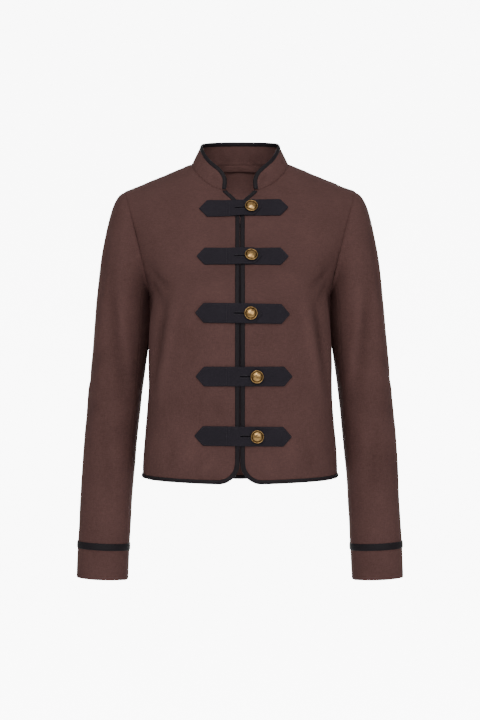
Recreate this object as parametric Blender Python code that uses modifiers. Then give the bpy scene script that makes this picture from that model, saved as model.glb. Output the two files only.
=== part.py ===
"""Cropped military jacket with a stand collar, bound edges and five button tabs, as it hangs when worn.

Metres, +Z up, the front faces -Y and the wearer's left is +X. The origin is the middle of the neck hole
at the height of the neck ends of the shoulder seams, where the wearer's shoulders carry the jacket.
"""

import math
from collections import namedtuple

import bmesh
import bpy
from mathutils import Matrix, Vector

# Cloth, all walls built about their middle surface
CLOTH = 0.0015
COLLAR_CLOTH = 0.0024
TAB_CLOTH = 0.0014
RIBBON = 0.0010
TAPE = 0.0010
SEAM_GAP = 0.0003
CREASE_GAP = 0.0009

# Binding: an oval strip round each raw edge
BINDING_WIDE = 0.0070
BINDING_THICK = 0.0030
FRONT_GAP = 0.0008
HEM_CORNER = 0.036

# Armhole, a leaning oval from the underarm to the shoulder tip
UNDERARM = Vector((0.1460, 0.002, -0.2170))
SHOULDER_TIP = Vector((0.1900, 0.004, -0.0442))
ARMHOLE_DEPTH = 0.059
ARMHOLE_SCOOP = 0.0030

# Neck hole
NECK_SIDE = 0.0802
NECK_SIDE_Z = 0.0018
NECK_MID_Y = 0.006
NECK_FRONT_X = 0.0225
NECK_FRONT_Y = -0.053
NECK_FRONT_Z = -0.0450
NECK_BACK_Y = 0.062
NECK_BACK_Z = 0.0062

# Collar
COLLAR_HIGH = 0.0372
COLLAR_END_HIGH = 0.012
COLLAR_END_ROUND = 0.028
LEAN_FRONT, LEAN_SIDE, LEAN_BACK = 16.0, 27.0, 8.0

# Tape inside the back of the neck, and how far below the neck seam its rows of points lie
TAPE_REACH = 0.0560
TAPE_EASE = 0.0005
TAPE_ROWS = (0.0022, 0.0075, 0.0128)

# Tabs and buttons. A tab's z is that of its middle at the front edge, and ease lifts it where the cloth curves.
TAB_HIGH = 0.0310
TAB_POINT = 0.0125
TAB_BLUNT = 0.0007
TAB_OVERLAP_END = 0.0345
TAB_UNDER_START = 0.0085
BUTTON_WIDE = 0.0209
SHANK_WIDE = 0.0044
SHANK_HOLE = 0.0054
SHANK_LONG = 0.0017

# The outline of a button, from the top of its dome round the rim to its back: share of its radius, height
BUTTON_OUTLINE = (
    (0.0, 0.0052), (0.42, 0.0046), (0.74, 0.0031), (0.80, 0.0031), (0.88, 0.0037),
    (0.97, 0.0032), (1.0, 0.0021), (0.93, 0.0008), (0.70, 0.0),
)

Tab = namedtuple("Tab", "z tilt outer_end inner_end button_x ease")
TABS = (
    Tab(-0.0765, -0.016, -0.0655, 0.0775, 0.0178, 0.0006),
    Tab(-0.1560, 0.000, -0.0685, 0.0768, 0.0174, 0.0),
    Tab(-0.2470, 0.014, -0.0695, 0.0775, 0.0168, 0.0),
    Tab(-0.3460, 0.000, -0.0690, 0.0818, 0.0262, 0.0),
    Tab(-0.4405, 0.010, -0.0708, 0.0804, 0.0270, 0.0),
)

# Sleeves: the rings that the cuff band lies between, and each seam's angles at the armhole, elbow and cuff
CUFF_BAND_RINGS = (12.505, 12.715)
SLEEVE_FRONT_SEAM = (34.0, 42.0, 24.0)
SLEEVE_BACK_SEAM = (-88.0, -100.0, -94.0)
SLEEVE_SEAM_GAP = 0.0007
SLEEVE_HALF_WIDE = 0.045

# Body: the row at the underarm, the height of the rows below it, and where the side seam meets the hem
UNDERARM_ROW = 5
LOW_ROW_HIGH = 0.0505
SIDE_SEAM_AT_HEM = 0.76


def armhole(angle, face):
    """The body's edge at an angle from the underarm, 0, to the shoulder tip, 180. face is -1 in front, 1 behind."""
    turn = math.radians(angle)
    point = UNDERARM.lerp(SHOULDER_TIP, (1 - math.cos(turn)) / 2)
    point.z -= CREASE_GAP * (1 + math.cos(turn)) / 2
    point.y += face * ARMHOLE_DEPTH * math.sin(turn)
    point.x -= ARMHOLE_SCOOP * math.sin(turn)
    return point


def front_neck(angle):
    """The neck seam in front, from the collar's end, 0, to the shoulder seam, 90."""
    turn = math.radians(angle)
    return Vector((
        NECK_FRONT_X + (NECK_SIDE - NECK_FRONT_X) * math.sin(turn),
        NECK_MID_Y + (NECK_FRONT_Y - NECK_MID_Y) * math.cos(turn),
        NECK_SIDE_Z + (NECK_FRONT_Z - NECK_SIDE_Z) * max(0.0, math.cos(turn)) ** 1.5,
    ))


def back_neck(angle):
    """The neck seam behind, from the middle of the back, 0, to the shoulder seam, 90."""
    turn = math.radians(angle)
    return Vector((
        NECK_SIDE * math.sin(turn),
        NECK_MID_Y + (NECK_BACK_Y - NECK_MID_Y) * math.cos(turn),
        NECK_SIDE_Z + (NECK_BACK_Z - NECK_SIDE_Z) * math.cos(turn),
    ))


# One row of cloth across half the body, from the middle to the side or armhole. reach_in and reach_out are
# the handles of its curve, as parts of its chord, and turn is its direction at the outer end.
Row = namedtuple("Row", "inner outer reach_in reach_out turn")

FRONT_ROWS = (
    Row((0, -0.1330, -0.5185), (0.1592, -0.018, -0.5100), 0.54, 0.46, 90),
    Row((0, -0.1365, -0.4680), (0.1572, -0.018, -0.4620), 0.54, 0.46, 90),
    Row((0, -0.1410, -0.4080), (0.1512, -0.016, -0.4040), 0.55, 0.44, 90),
    Row((0, -0.1465, -0.3480), (0.1496, -0.013, -0.3450), 0.56, 0.42, 90),
    Row((0, -0.1520, -0.2900), (0.1502, -0.007, -0.2840), 0.56, 0.40, 90),
    Row((0, -0.1510, -0.2380), armhole(0, -1), 0.55, 0.39, 90),
    Row((0, -0.1345, -0.1900), armhole(28, -1), 0.52, 0.38, 84),
    Row((0, -0.1085, -0.1420), armhole(54, -1), 0.50, 0.38, 72),
    Row((0, -0.0820, -0.0980), armhole(78, -1), 0.48, 0.38, 56),
    Row((0.0008, -0.0640, -0.0680), armhole(99, -1), 0.46, 0.38, 42),
    Row(front_neck(0), armhole(118, -1), 0.44, 0.36, 29),
    Row(front_neck(30), armhole(138, -1), 0.40, 0.34, 17),
    Row(front_neck(60), armhole(159, -1), 0.36, 0.33, 7),
    Row(front_neck(90), armhole(180, -1), 0.33, 0.33, 0),
)

BACK_ROWS = (
    Row((0, 0.1000, -0.5220), (0.1592, -0.018, -0.5100), 0.46, 0.46, 90),
    Row((0, 0.1000, -0.4680), (0.1572, -0.018, -0.4620), 0.46, 0.46, 90),
    Row((0, 0.0985, -0.4080), (0.1512, -0.016, -0.4040), 0.46, 0.46, 90),
    Row((0, 0.0975, -0.3480), (0.1496, -0.013, -0.3450), 0.47, 0.46, 90),
    Row((0, 0.1010, -0.2900), (0.1502, -0.007, -0.2840), 0.48, 0.45, 90),
    Row((0, 0.1060, -0.2330), armhole(0, 1), 0.49, 0.43, 90),
    Row((0, 0.1090, -0.1800), armhole(28, 1), 0.50, 0.40, 84),
    Row((0, 0.1070, -0.1280), armhole(54, 1), 0.50, 0.38, 70),
    Row((0, 0.0980, -0.0780), armhole(78, 1), 0.48, 0.38, 52),
    Row((0, 0.0830, -0.0330), armhole(99, 1), 0.46, 0.38, 38),
    Row(back_neck(0), armhole(118, 1), 0.44, 0.36, 25),
    Row(back_neck(30), armhole(138, 1), 0.40, 0.34, 14),
    Row(back_neck(60), armhole(159, 1), 0.36, 0.33, 6),
    Row(back_neck(90), armhole(180, 1), 0.33, 0.33, 0),
)
ROW_ANGLES = (0, 0, 0, 0, 0, 0, 28, 54, 78, 99, 118, 138, 159, 180)
TOP_ROW = len(FRONT_ROWS) - 1
NECK_ROW = 10

# Rings of the sleeve. Each lies in an upright plane through its inner point, next to the body, and its outer
# point, with half_deep of cloth before and behind mid_y.
Ring = namedtuple("Ring", "x_in z_in x_out z_out mid_y half_deep")
SLEEVE_RINGS = (
    Ring(0.1460, -0.2170, 0.1900, -0.0442, 0.003, 0.0590),
    Ring(0.1472, -0.2143, 0.1995, -0.0505, 0.003, 0.0605),
    Ring(0.1486, -0.2134, 0.2102, -0.0712, 0.003, 0.0622),
    Ring(0.1495, -0.2160, 0.2192, -0.1076, 0.003, 0.0630),
    Ring(0.1500, -0.2215, 0.2276, -0.1520, 0.003, 0.0628),
    Ring(0.1500, -0.2335, 0.2335, -0.2000, 0.004, 0.0615),
    Ring(0.1505, -0.2590, 0.2378, -0.2440, 0.005, 0.0595),
    Ring(0.1520, -0.3000, 0.2412, -0.2930, 0.006, 0.0570),
    Ring(0.1580, -0.3500, 0.2466, -0.3440, 0.007, 0.0540),
    Ring(0.1648, -0.4080, 0.2520, -0.4030, 0.006, 0.0512),
    Ring(0.1704, -0.4650, 0.2569, -0.4600, 0.003, 0.0490),
    Ring(0.1755, -0.5230, 0.2607, -0.5180, -0.002, 0.0470),
    Ring(0.1790, -0.5880, 0.2640, -0.5840, -0.008, 0.0450),
    Ring(0.1816, -0.6450, 0.2658, -0.6410, -0.013, 0.0438),
    Ring(0.1828, -0.6785, 0.2668, -0.6750, -0.015, 0.0434),
)
CUFF_RING = len(SLEEVE_RINGS) - 1

# Folds: soft ridges and troughs along a line on the cloth. On the body the line's ends are (across, row),
# with across from 0 at the middle front over 1 at the side to 2 at the middle back. On the sleeve they are
# (angle, ring). half_wide is in the first of those, and rise is in metres, negative for a trough.
Fold = namedtuple("Fold", "start end half_wide rise")
BODY_FOLDS = (
    Fold((0.58, 5.9), (0.88, 2.0), 0.16, 0.0050),
    Fold((0.86, 5.6), (0.98, 2.3), 0.15, -0.0065),
    Fold((1.30, 5.6), (1.22, 1.5), 0.20, -0.0040),
    Fold((0.92, 7.6), (0.74, 6.2), 0.14, -0.0045),
)
SLEEVE_FOLDS = (
    Fold((128, 2.2), (96, 8.6), 16, -0.0050),
    Fold((104, 2.8), (66, 8.4), 15, -0.0042),
    Fold((150, 4.0), (120, 9.6), 18, 0.0028),
    Fold((70, 7.4), (34, 9.2), 18, 0.0036),
    Fold((236, 2.4), (286, 8.8), 22, -0.0048),
    Fold((262, 7.6), (330, 9.6), 20, 0.0036),
)

Finish = namedtuple("Finish", "colour roughness metallic")
FINISHES = {
    "cloth": Finish((0.105, 0.046, 0.040), 0.85, 0.0),
    "trim": Finish((0.020, 0.016, 0.021), 0.55, 0.0),
    "brass": Finish((0.420, 0.270, 0.105), 0.35, 1.0),
}


def smooth(value):
    """0 below 0, 1 above 1, with a soft start and end between."""
    value = min(1.0, max(0.0, value))
    return value * value * (3 - 2 * value)


def spline(points, place):
    """The point at a place, counted in points, on the smooth curve through a list of vectors."""
    last = len(points) - 1
    place = min(max(place, 0.0), float(last))
    at = min(int(place), last - 1)
    start, end = points[at], points[at + 1]
    leave = (end - points[at - 1]) / 2 if at > 0 else end - start
    arrive = (points[at + 2] - start) / 2 if at + 2 <= last else end - start
    t = place - at
    return (
        start * (2 * t**3 - 3 * t**2 + 1)
        + leave * (t**3 - 2 * t**2 + t)
        + end * (3 * t**2 - 2 * t**3)
        + arrive * (t**3 - t**2)
    )


def row_point(row, across, face):
    """A point of a row, at a share of the way from the middle to its outer end. face is -1 in front, 1 behind."""
    inner, outer = Vector(row.inner), Vector(row.outer)
    chord = (outer - inner).length
    turn = math.radians(row.turn)
    handle_in = inner + Vector((row.reach_in * chord, 0, 0))
    handle_out = outer - row.reach_out * chord * Vector((math.cos(turn), -face * math.sin(turn), 0))
    t, s = across, 1 - across
    point = inner * s**3 + handle_in * (3 * s * s * t) + handle_out * (3 * s * t * t) + outer * t**3
    point.z = inner.z + (outer.z - inner.z) * across
    return point


def fold_rise(folds, across, along):
    """How far the folds lift the cloth there. Each fades out over the ends of its line."""
    total = 0.0
    for fold in folds:
        share = (along - fold.start[1]) / (fold.end[1] - fold.start[1])
        if not 0 < share < 1:
            continue
        middle = fold.start[0] + (fold.end[0] - fold.start[0]) * share
        off = abs(across - middle) / fold.half_wide
        if off < 1:
            total += fold.rise * (0.5 + 0.5 * math.cos(math.pi * off)) * math.sin(math.pi * share)
    return total


def inner_edge(row, face):
    """The middle line of the front or back, and the neck seam above it."""
    if row > NECK_ROW:
        return (front_neck if face < 0 else back_neck)(30 * (row - NECK_ROW))
    rows = FRONT_ROWS if face < 0 else BACK_ROWS
    point = spline([Vector(r.inner) for r in rows[:NECK_ROW + 1]], row)
    point.x = max(0.0, point.x)
    return point


def outer_edge(row, face):
    """The side line below the underarm, and the armhole above it."""
    if row <= UNDERARM_ROW:
        return spline([Vector(r.outer) for r in FRONT_ROWS[:UNDERARM_ROW + 1]], row)
    angles = [Vector((angle, 0, 0)) for angle in ROW_ANGLES[UNDERARM_ROW:]]
    return armhole(spline(angles, row - UNDERARM_ROW).x, face)


def plain_body(across, row):
    """The body's middle surface for x >= 0, without folds. across runs 0 to 1 in front and 1 to 2 behind."""
    face = -1 if across <= 1 else 1
    share = across if across <= 1 else 2 - across
    rows = FRONT_ROWS if face < 0 else BACK_ROWS
    low = max(0, int(row) - 1)
    near = rows[low:low + 4]
    point = spline([row_point(r, share, face) for r in near], row - low)
    raw_outer = spline([Vector(r.outer) for r in near], row - low)
    raw_inner = spline([Vector(r.inner) for r in near], row - low)
    point += (outer_edge(row, face) - raw_outer) * share**4
    return point + (inner_edge(row, face) - raw_inner) * (1 - share) ** 4


def surface_point(shape, across, along, steps, lift):
    """A point of a smooth shape moved out by lift along its normal, and that normal."""
    step_across, step_along = steps
    here = shape(across, along)
    side = shape(across + step_across, along) - shape(across - step_across, along)
    up = shape(across, along + step_along) - shape(across, along - step_along)
    normal = side.cross(up).normalized()
    return here + normal * lift, normal


def body_point(across, row, lift=0.0):
    """A point of the body cloth for x >= 0, folds and lift included, and its outward normal."""
    across = min(max(across, 0.0), 2.0)
    if abs(across - 1) < 0.002:
        across = 0.998 if across <= 1 else 1.002
    row = min(max(row, 0.01), TOP_ROW - 0.01)
    rise = fold_rise(BODY_FOLDS, across, row) + lift
    return surface_point(plain_body, across, row, (0.001, 0.005), rise)


def plain_sleeve(angle, ring):
    """The left sleeve's middle surface. The angle runs from 0 at the body over 90 in front to 180 outside."""
    low = max(0, int(ring) - 1)
    turn = math.radians(angle)
    points = []
    for r in SLEEVE_RINGS[low:low + 4]:
        inner, outer = Vector((r.x_in, r.mid_y, r.z_in)), Vector((r.x_out, r.mid_y, r.z_out))
        point = inner.lerp(outer, (1 - math.cos(turn)) / 2)
        point.y -= r.half_deep * math.sin(turn)
        points.append(point)
    point = spline(points, ring - low)
    scoop = ARMHOLE_SCOOP * abs(math.sin(turn)) * max(0.0, 1 - ring)
    return point - Vector((scoop, 0, 0))


def sleeve_point(angle, ring, lift=0.0):
    """A point of the left sleeve's cloth, folds and lift included, and its outward normal."""
    ring = min(max(ring, 0.01), CUFF_RING - 0.01)
    rise = fold_rise(SLEEVE_FOLDS, angle % 360, ring) + lift
    return surface_point(plain_sleeve, angle, ring, (0.5, -0.005), rise)


def mirrored(vector, side):
    """The same place on the wearer's left, 1, or right, -1."""
    return Vector((vector.x * side, vector.y, vector.z))


def cloth_at(x, z, face, lift=0.0):
    """The body cloth as seen from the front or back at x and z: its point moved out by lift, and its normal."""
    side = 1 if x >= 0 else -1
    share, row = min(0.9, abs(x) / 0.17), UNDERARM_ROW * (z + 0.52) / 0.30
    for _ in range(14):
        across = share if face < 0 else 2 - share
        here = body_point(across, row)[0]
        by_share = (body_point(across - face * 0.01, row)[0] - here) / 0.01
        by_row = (body_point(across, row + 0.02)[0] - here) / 0.02
        off_x, off_z = abs(x) - here.x, z - here.z
        scale = by_share.x * by_row.z - by_share.z * by_row.x
        share += (off_x * by_row.z - off_z * by_row.x) / scale
        row += (by_share.x * off_z - by_share.z * off_x) / scale
        share, row = min(max(share, 0.0), 0.999), min(max(row, 0.0), float(TOP_ROW))
    point, normal = body_point(share if face < 0 else 2 - share, row, lift)
    return mirrored(point, side), mirrored(normal, side)


def collar_point(turn, high, lift=0.0):
    """A point of the collar and its outward normal. turn runs from the wearer's left front end, 0, over the
    left shoulder, 90, to the middle of the back, 180, and on to the right front end at 360."""

    def standing(turn, high):
        side = 1 if turn <= 180 else -1
        half = turn if turn <= 180 else 360 - turn
        base = front_neck(half) if half <= 90 else back_neck(180 - half)
        first, last = (LEAN_FRONT, LEAN_SIDE) if half <= 90 else (LEAN_SIDE, LEAN_BACK)
        lean = math.radians(first + (last - first) * smooth((half % 90 if half < 180 else 90) / 90))
        inwards = Vector((-base.x, NECK_MID_Y - base.y, 0)).normalized()
        return mirrored(base + high * (Vector((0, 0, 1)) * math.cos(lean) + inwards * math.sin(lean)), side)

    here = standing(turn, high)
    along = standing(min(turn + 0.5, 360), high) - standing(max(turn - 0.5, 0), high)
    up = standing(turn, high + 0.001) - here
    normal = up.cross(along).normalized()
    return here + normal * lift, normal


def material(name):
    finish = FINISHES[name]
    found = bpy.data.materials.get(name) or bpy.data.materials.new(name)
    found.use_nodes = True
    shader = found.node_tree.nodes["Principled BSDF"]
    shader.inputs["Base Color"].default_value = (*finish.colour, 1)
    shader.inputs["Roughness"].default_value = finish.roughness
    shader.inputs["Metallic"].default_value = finish.metallic
    return found


def mesh_object(name, finish, shape):
    """A named object in the jacket's collection, from a bmesh."""
    mesh = bpy.data.meshes.new(name)
    shape.to_mesh(mesh)
    shape.free()
    mesh.materials.append(material(finish))
    mesh.shade_smooth()
    mesh.set_sharp_from_angle(angle=math.radians(40))
    piece = bpy.data.objects.new(name, mesh)
    bpy.data.collections["military_jacket"].objects.link(piece)
    return piece


def cloth_piece(name, finish, grids, thickness, closed=False):
    """A wall of cloth on one or more grids of points, given row by row, that share their common points.
    closed joins each row's end to its start."""
    shape = bmesh.new()
    for grid in grids:
        rows = [[shape.verts.new(point) for point in row] for row in grid]
        for low, high in zip(rows, rows[1:]):
            count = len(low)
            for i in range(count if closed else count - 1):
                j = (i + 1) % count
                shape.faces.new((low[i], low[j], high[j], high[i]))
    bmesh.ops.remove_doubles(shape, verts=shape.verts, dist=0.00002)
    bmesh.ops.recalc_face_normals(shape, faces=shape.faces)
    piece = mesh_object(name, finish, shape)
    wall = piece.modifiers.new("wall", "SOLIDIFY")
    wall.thickness = thickness
    wall.offset = 0
    return piece


def binding(name, stations):
    """An oval strip lofted along stations of (outer edge, inner edge, normal)."""
    sides = 8
    shape = bmesh.new()
    rings = []
    for outer, inner, normal in stations:
        ring = []
        for i in range(sides):
            turn = 2 * math.pi * (i + 0.5) / sides
            share = 0.5 - 0.5 * math.copysign(abs(math.cos(turn)) ** 0.8, math.cos(turn))
            high = 0.5 * BINDING_THICK * math.sin(turn)
            ring.append(shape.verts.new(outer.lerp(inner, share) + normal * high))
        rings.append(ring)
    for first, second in zip(rings, rings[1:]):
        for i in range(sides):
            j = (i + 1) % sides
            shape.faces.new((first[i], first[j], second[j], second[i]))
    shape.faces.new(rings[0])
    shape.faces.new(reversed(rings[-1]))
    bmesh.ops.recalc_face_normals(shape, faces=shape.faces)
    return mesh_object(name, "trim", shape)


def steps(start, end, count):
    return [start + (end - start) * i / count for i in range(count + 1)]


def side_seam(row):
    """Where the side seam crosses a row: at the side under the arm, and further forward at the hem."""
    return 1 - (1 - SIDE_SEAM_AT_HEM) * max(0.0, 1 - row / UNDERARM_ROW)


def share_for(row, distance, face):
    """The share of a row that a distance from its inner end takes."""
    near = body_point(0.03 if face < 0 else 1.97, row)[0]
    far = body_point(0.06 if face < 0 else 1.94, row)[0]
    return distance * 0.03 / (far - near).length


def hem_row(distance):
    """The row that lies a distance above the hem."""
    return distance / LOW_ROW_HIGH


# The rows that each panel's own rows of points lie on
FRONT_LEVELS = (
    0.15, 0.19, 0.27, 0.42, 0.70, 1.2, 1.8, 2.4, 3.0, 3.6, 4.2, 4.75, 5.25, 5.8,
    6.4, 7.0, 7.6, 8.2, 8.8, 9.3, 9.7, 10.0, 10.25, 10.7, 11.2, 11.8, 12.4, 13.0,
)
BACK_LEVELS = (
    0.15, 0.8, 1.6, 2.4, 3.2, 4.0, 4.7, 5.25, 5.8, 6.4, 7.1, 7.8, 8.5, 9.2,
    9.97, 10.35, 10.9, 11.5, 12.1, 12.6, 13.0,
)
FRONT_BINDING_LEVELS = (
    9.96, 9.7, 9.45, 9.2, 8.9, 8.5, 8.0, 7.4, 6.8, 6.2, 5.6, 5.0, 4.3, 3.6, 2.9, 2.2, 1.5, 1.0,
)
BOUND = BINDING_WIDE + FRONT_GAP / 2 + SEAM_GAP
HEM_ROW = hem_row(BINDING_WIDE + SEAM_GAP)
SHOULDER_ROW = TOP_ROW - 0.023


def front_inset(row):
    """How far the front's cloth stops short of the jacket's edge: for its binding, and less along the neck."""
    inset = BOUND + (CREASE_GAP - BOUND) * smooth((row - NECK_ROW) / 0.25)
    inside = HEM_CORNER - BOUND
    up = (row - HEM_ROW) / hem_row(1.0)
    if up < inside:
        inset += inside - math.sqrt(inside**2 - (inside - up) ** 2)
    return inset


def front_panel(name, side, columns=14):
    """A front: from its bound edge to the side seam and armhole, and from the hem to the neck and shoulder."""
    grid = []
    for level in FRONT_LEVELS:
        row = min(max(level, HEM_ROW), SHOULDER_ROW)
        start = share_for(row, front_inset(row), -1)
        end = side_seam(row) - share_for(row, CREASE_GAP if row > UNDERARM_ROW else SEAM_GAP, -1)
        grid.append([mirrored(body_point(across, row)[0], side) for across in steps(start, end, columns)])
    return cloth_piece(name, "cloth", [grid], CLOTH)


def back_panel(name, columns=13):
    """The back, from side seam to side seam, with the neck hole between the two rows of each shoulder."""
    halves = []
    for side in (1, -1):
        grid = []
        for level in BACK_LEVELS:
            row = min(max(level, HEM_ROW), SHOULDER_ROW)
            inner = 0.0
            if row > NECK_ROW:
                inner = share_for(row, CREASE_GAP * (3 - 2 * smooth((row - NECK_ROW) / 2)), 1)
            outer = CREASE_GAP if row > UNDERARM_ROW else SEAM_GAP
            start = side_seam(row) + share_for(row, outer, 1)
            if start < 1:
                start = side_seam(row) + share_for(row, SEAM_GAP, -1)
            grid.append([mirrored(body_point(across, row)[0], side)
                         for across in steps(start, 2 - inner, columns)])
        halves.append(grid)
    return cloth_piece(name, "cloth", halves, CLOTH)


def front_binding(name, side):
    """The binding from the neck down the front edge, round the hem's corner and along the hem."""

    def station(outer, inner):
        edge_out = body_point(*outer)
        edge_in = body_point(*inner)
        return mirrored(edge_out[0], side), mirrored(edge_in[0], side), mirrored(edge_in[1], side)

    gap = FRONT_GAP / 2
    stations = []
    corner_row = hem_row(HEM_CORNER)
    for row in (*FRONT_BINDING_LEVELS, corner_row):
        stations.append(station((share_for(row, gap, -1), row), (share_for(row, gap + BINDING_WIDE, -1), row)))
    for angle in steps(0, 90, 7)[1:]:
        turn = math.radians(angle)
        places = []
        for radius in (HEM_CORNER, HEM_CORNER - BINDING_WIDE):
            row = hem_row(HEM_CORNER - radius * math.sin(turn))
            places.append((share_for(row, gap + HEM_CORNER - radius * math.cos(turn), -1), row))
        stations.append(station(*places))
    end = side_seam(0) - share_for(0, SEAM_GAP, -1)
    for across in steps(places[0][0], end, 11)[1:]:
        stations.append(station((across, 0.0), (across, hem_row(BINDING_WIDE))))
    return binding(name, stations)


def back_hem_binding(name):
    """The binding along the back's hem, from side seam to side seam."""
    start = side_seam(0) + share_for(0, SEAM_GAP, -1)
    stations = []
    places = [(across, 1) for across in steps(start, 2, 16)]
    for across, side in places + [(across, -1) for across, side in reversed(places[:-1])]:
        edge_out, edge_in = body_point(across, 0.0), body_point(across, hem_row(BINDING_WIDE))
        stations.append([mirrored(v, side) for v in (edge_out[0], edge_in[0], edge_in[1])])
    return binding(name, stations)


def neck_length(turn):
    """The length of the neck seam from the collar's end to a turn, up to 180 at the middle of the back."""
    points = [collar_point(t, 0.0)[0] for t in steps(0, turn, 24)]
    return sum((b - a).length for a, b in zip(points, points[1:]))


def neck_turn(distance):
    """The turn that lies a distance along the neck seam from the collar's end."""
    low, high = 0.0, 180.0
    for _ in range(20):
        middle = (low + high) / 2
        if neck_length(middle) < distance:
            low = middle
        else:
            high = middle
    return low


def collar_edge(along, inset):
    """The height of the collar a distance along from its end, less an inset on its end and its top."""
    round_long, round_high = COLLAR_END_ROUND - inset, COLLAR_HIGH - COLLAR_END_HIGH - inset
    share = min(1.0, max(0.0, (along - inset) / round_long))
    return COLLAR_END_HIGH + round_high * math.sqrt(1 - (1 - share) ** 2)


def collar(name):
    """The stand collar's cloth, from the neck seam up to its binding."""
    inset = BINDING_WIDE + SEAM_GAP
    whole = neck_length(180)
    places = [inset + (COLLAR_END_ROUND - inset) * share for share in (0, 0.03, 0.12, 0.27, 0.47, 0.72, 1)]
    places += steps(COLLAR_END_ROUND, whole, 9)[1:]
    halves = []
    for side in (1, -1):
        grid = []
        for share in (0, 0.33, 0.67, 1):
            row = []
            for along in places:
                high = CREASE_GAP + (collar_edge(along, inset) - CREASE_GAP) * share
                row.append(mirrored(collar_point(neck_turn(along), high)[0], side))
            grid.append(row)
        halves.append(grid)
    return cloth_piece(name, "cloth", halves, COLLAR_CLOTH)


def collar_binding(name):
    """The binding up the collar's left end, along its top and down its right end."""
    long, high = COLLAR_END_ROUND, COLLAR_HIGH - COLLAR_END_HIGH
    wide = BINDING_WIDE
    places = [((0, up), (wide, up)) for up in (0.0012, 0.006)]
    for angle in steps(0, 90, 7):
        turn = math.radians(angle)
        along, up = math.cos(turn), math.sin(turn)
        places.append(((long - long * along, COLLAR_END_HIGH + high * up),
                       (long - (long - wide) * along, COLLAR_END_HIGH + (high - wide) * up)))
    for along in steps(long, neck_length(180), 9)[1:]:
        places.append(((along, COLLAR_HIGH), (along, COLLAR_HIGH - wide)))
    stations = []
    for side in (1, -1):
        half = []
        for (out_along, out_up), (in_along, in_up) in places:
            edge_out = collar_point(neck_turn(out_along), out_up)
            edge_in = collar_point(neck_turn(in_along), in_up)
            half.append([mirrored(v, side) for v in (edge_out[0], edge_in[0], edge_in[1])])
        stations += half if side > 0 else half[-2::-1]
    return binding(name, stations)


def neck_tape(name):
    """The strip inside the back that covers the neck seam below the collar."""
    lift = -(CLOTH / 2 + SEAM_GAP + TAPE_EASE + TAPE / 2)
    grid = []
    for down in TAPE_ROWS:
        row = []
        for x in steps(-TAPE_REACH, TAPE_REACH, 12):
            seam = back_neck(math.degrees(math.asin(abs(x) / NECK_SIDE)))
            slope = cloth_at(x, seam.z - 0.004, 1)[1]
            z = seam.z - down * math.sqrt(1 - slope.z**2)
            row.append(cloth_at(x, z, 1, lift)[0])
        grid.append(row)
    return cloth_piece(name, "cloth", [grid], TAPE)


# The rings that a sleeve part's rows of points lie on
SLEEVE_LEVELS = (
    0.0, 0.5, 1.0, 1.6, 2.2, 2.9, 3.6, 4.3, 5.0, 5.7,
    6.4, 7.1, 7.8, 8.5, 9.2, 10.0, 10.8, 11.6, 12.4, 13.2, 14.0,
)


def sleeve_seam(seam, ring):
    """A seam's angle round the sleeve at a ring, from its angles at the armhole, the elbow and the cuff."""
    return spline([Vector((angle, 0, 0)) for angle in seam], 2 * ring / CUFF_RING).x


def sleeve_angles(part, ring):
    """The angles round one part of the sleeve at a ring, from one seam to the other."""
    front, back = sleeve_seam(SLEEVE_FRONT_SEAM, ring), sleeve_seam(SLEEVE_BACK_SEAM, ring)
    gap = math.degrees(SLEEVE_SEAM_GAP / 2 / SLEEVE_HALF_WIDE) * (1 + 3 * smooth(1 - ring / 2.4))
    if part == "under":
        return steps(back + gap, front - gap, 9)
    return steps(front + gap, back + 360 - gap, 13)


def sleeve_part(name, part, side):
    """The upper or the under part of a sleeve, from the armhole to the cuff."""
    grid = []
    for level in SLEEVE_LEVELS:
        row = []
        for angle in sleeve_angles(part, level):
            start = CREASE_GAP / (plain_sleeve(angle, 1) - plain_sleeve(angle, 0)).length
            row.append(mirrored(sleeve_point(angle, max(level, start))[0], side))
        grid.append(row)
    return cloth_piece(name, "cloth", [grid], CLOTH)


def cuff_band(name, side):
    """The band sewn round a sleeve above the cuff."""
    lift = CLOTH / 2 + SEAM_GAP + RIBBON / 2
    grid = []
    for ring in CUFF_BAND_RINGS:
        angles = sleeve_angles("under", ring)[:-1] + sleeve_angles("upper", ring)[:-1]
        grid.append([mirrored(sleeve_point(angle, ring, lift)[0], side) for angle in angles])
    return cloth_piece(name, "trim", [grid], RIBBON, closed=True)


def sewn_lift(tab):
    """How far the middle surface of a tab that is sewn to the cloth stands off the cloth's own."""
    return CLOTH / 2 + SEAM_GAP + TAB_CLOTH / 2 + tab.ease


def lapping_lift(tab, x):
    """The same for the lapping tab, which rises over the front edge and the tab under it."""
    return sewn_lift(tab) + (TAB_CLOTH + SEAM_GAP) * smooth((x + 0.020) / 0.018)


def tab_piece(name, tab, start, end, lift_at):
    """A tab from start to end, brought to a point at its free ends."""
    tips = [x for x in (start, end) if x != TAB_UNDER_START]
    first = start + TAB_POINT if start in tips else start
    last = end - TAB_POINT
    places = [start, end]
    places += [end - TAB_POINT * share for share in (0.5, 1.0)]
    places += [start + TAB_POINT * share for share in (0.5, 1.0) if start in tips]
    places += [x for x in steps(-0.08, 0.08, 20) if first + 0.003 < x < last - 0.003]
    grid = []
    for share in (-1, -0.35, 0.35, 1):
        row = []
        for x in sorted(places):
            middle_z = tab.z - tab.tilt * x
            near = min(abs(x - tip) for tip in tips)
            half = TAB_BLUNT + (TAB_HIGH / 2 - TAB_BLUNT) * min(1.0, near / TAB_POINT)
            slope = cloth_at(x, middle_z, -1)[1]
            z = middle_z + share * half * math.sqrt(1 - slope.z**2)
            row.append(cloth_at(x, z, -1, lift_at(x))[0])
        grid.append(row)
    return cloth_piece(name, "trim", [grid], TAB_CLOTH)


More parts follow.
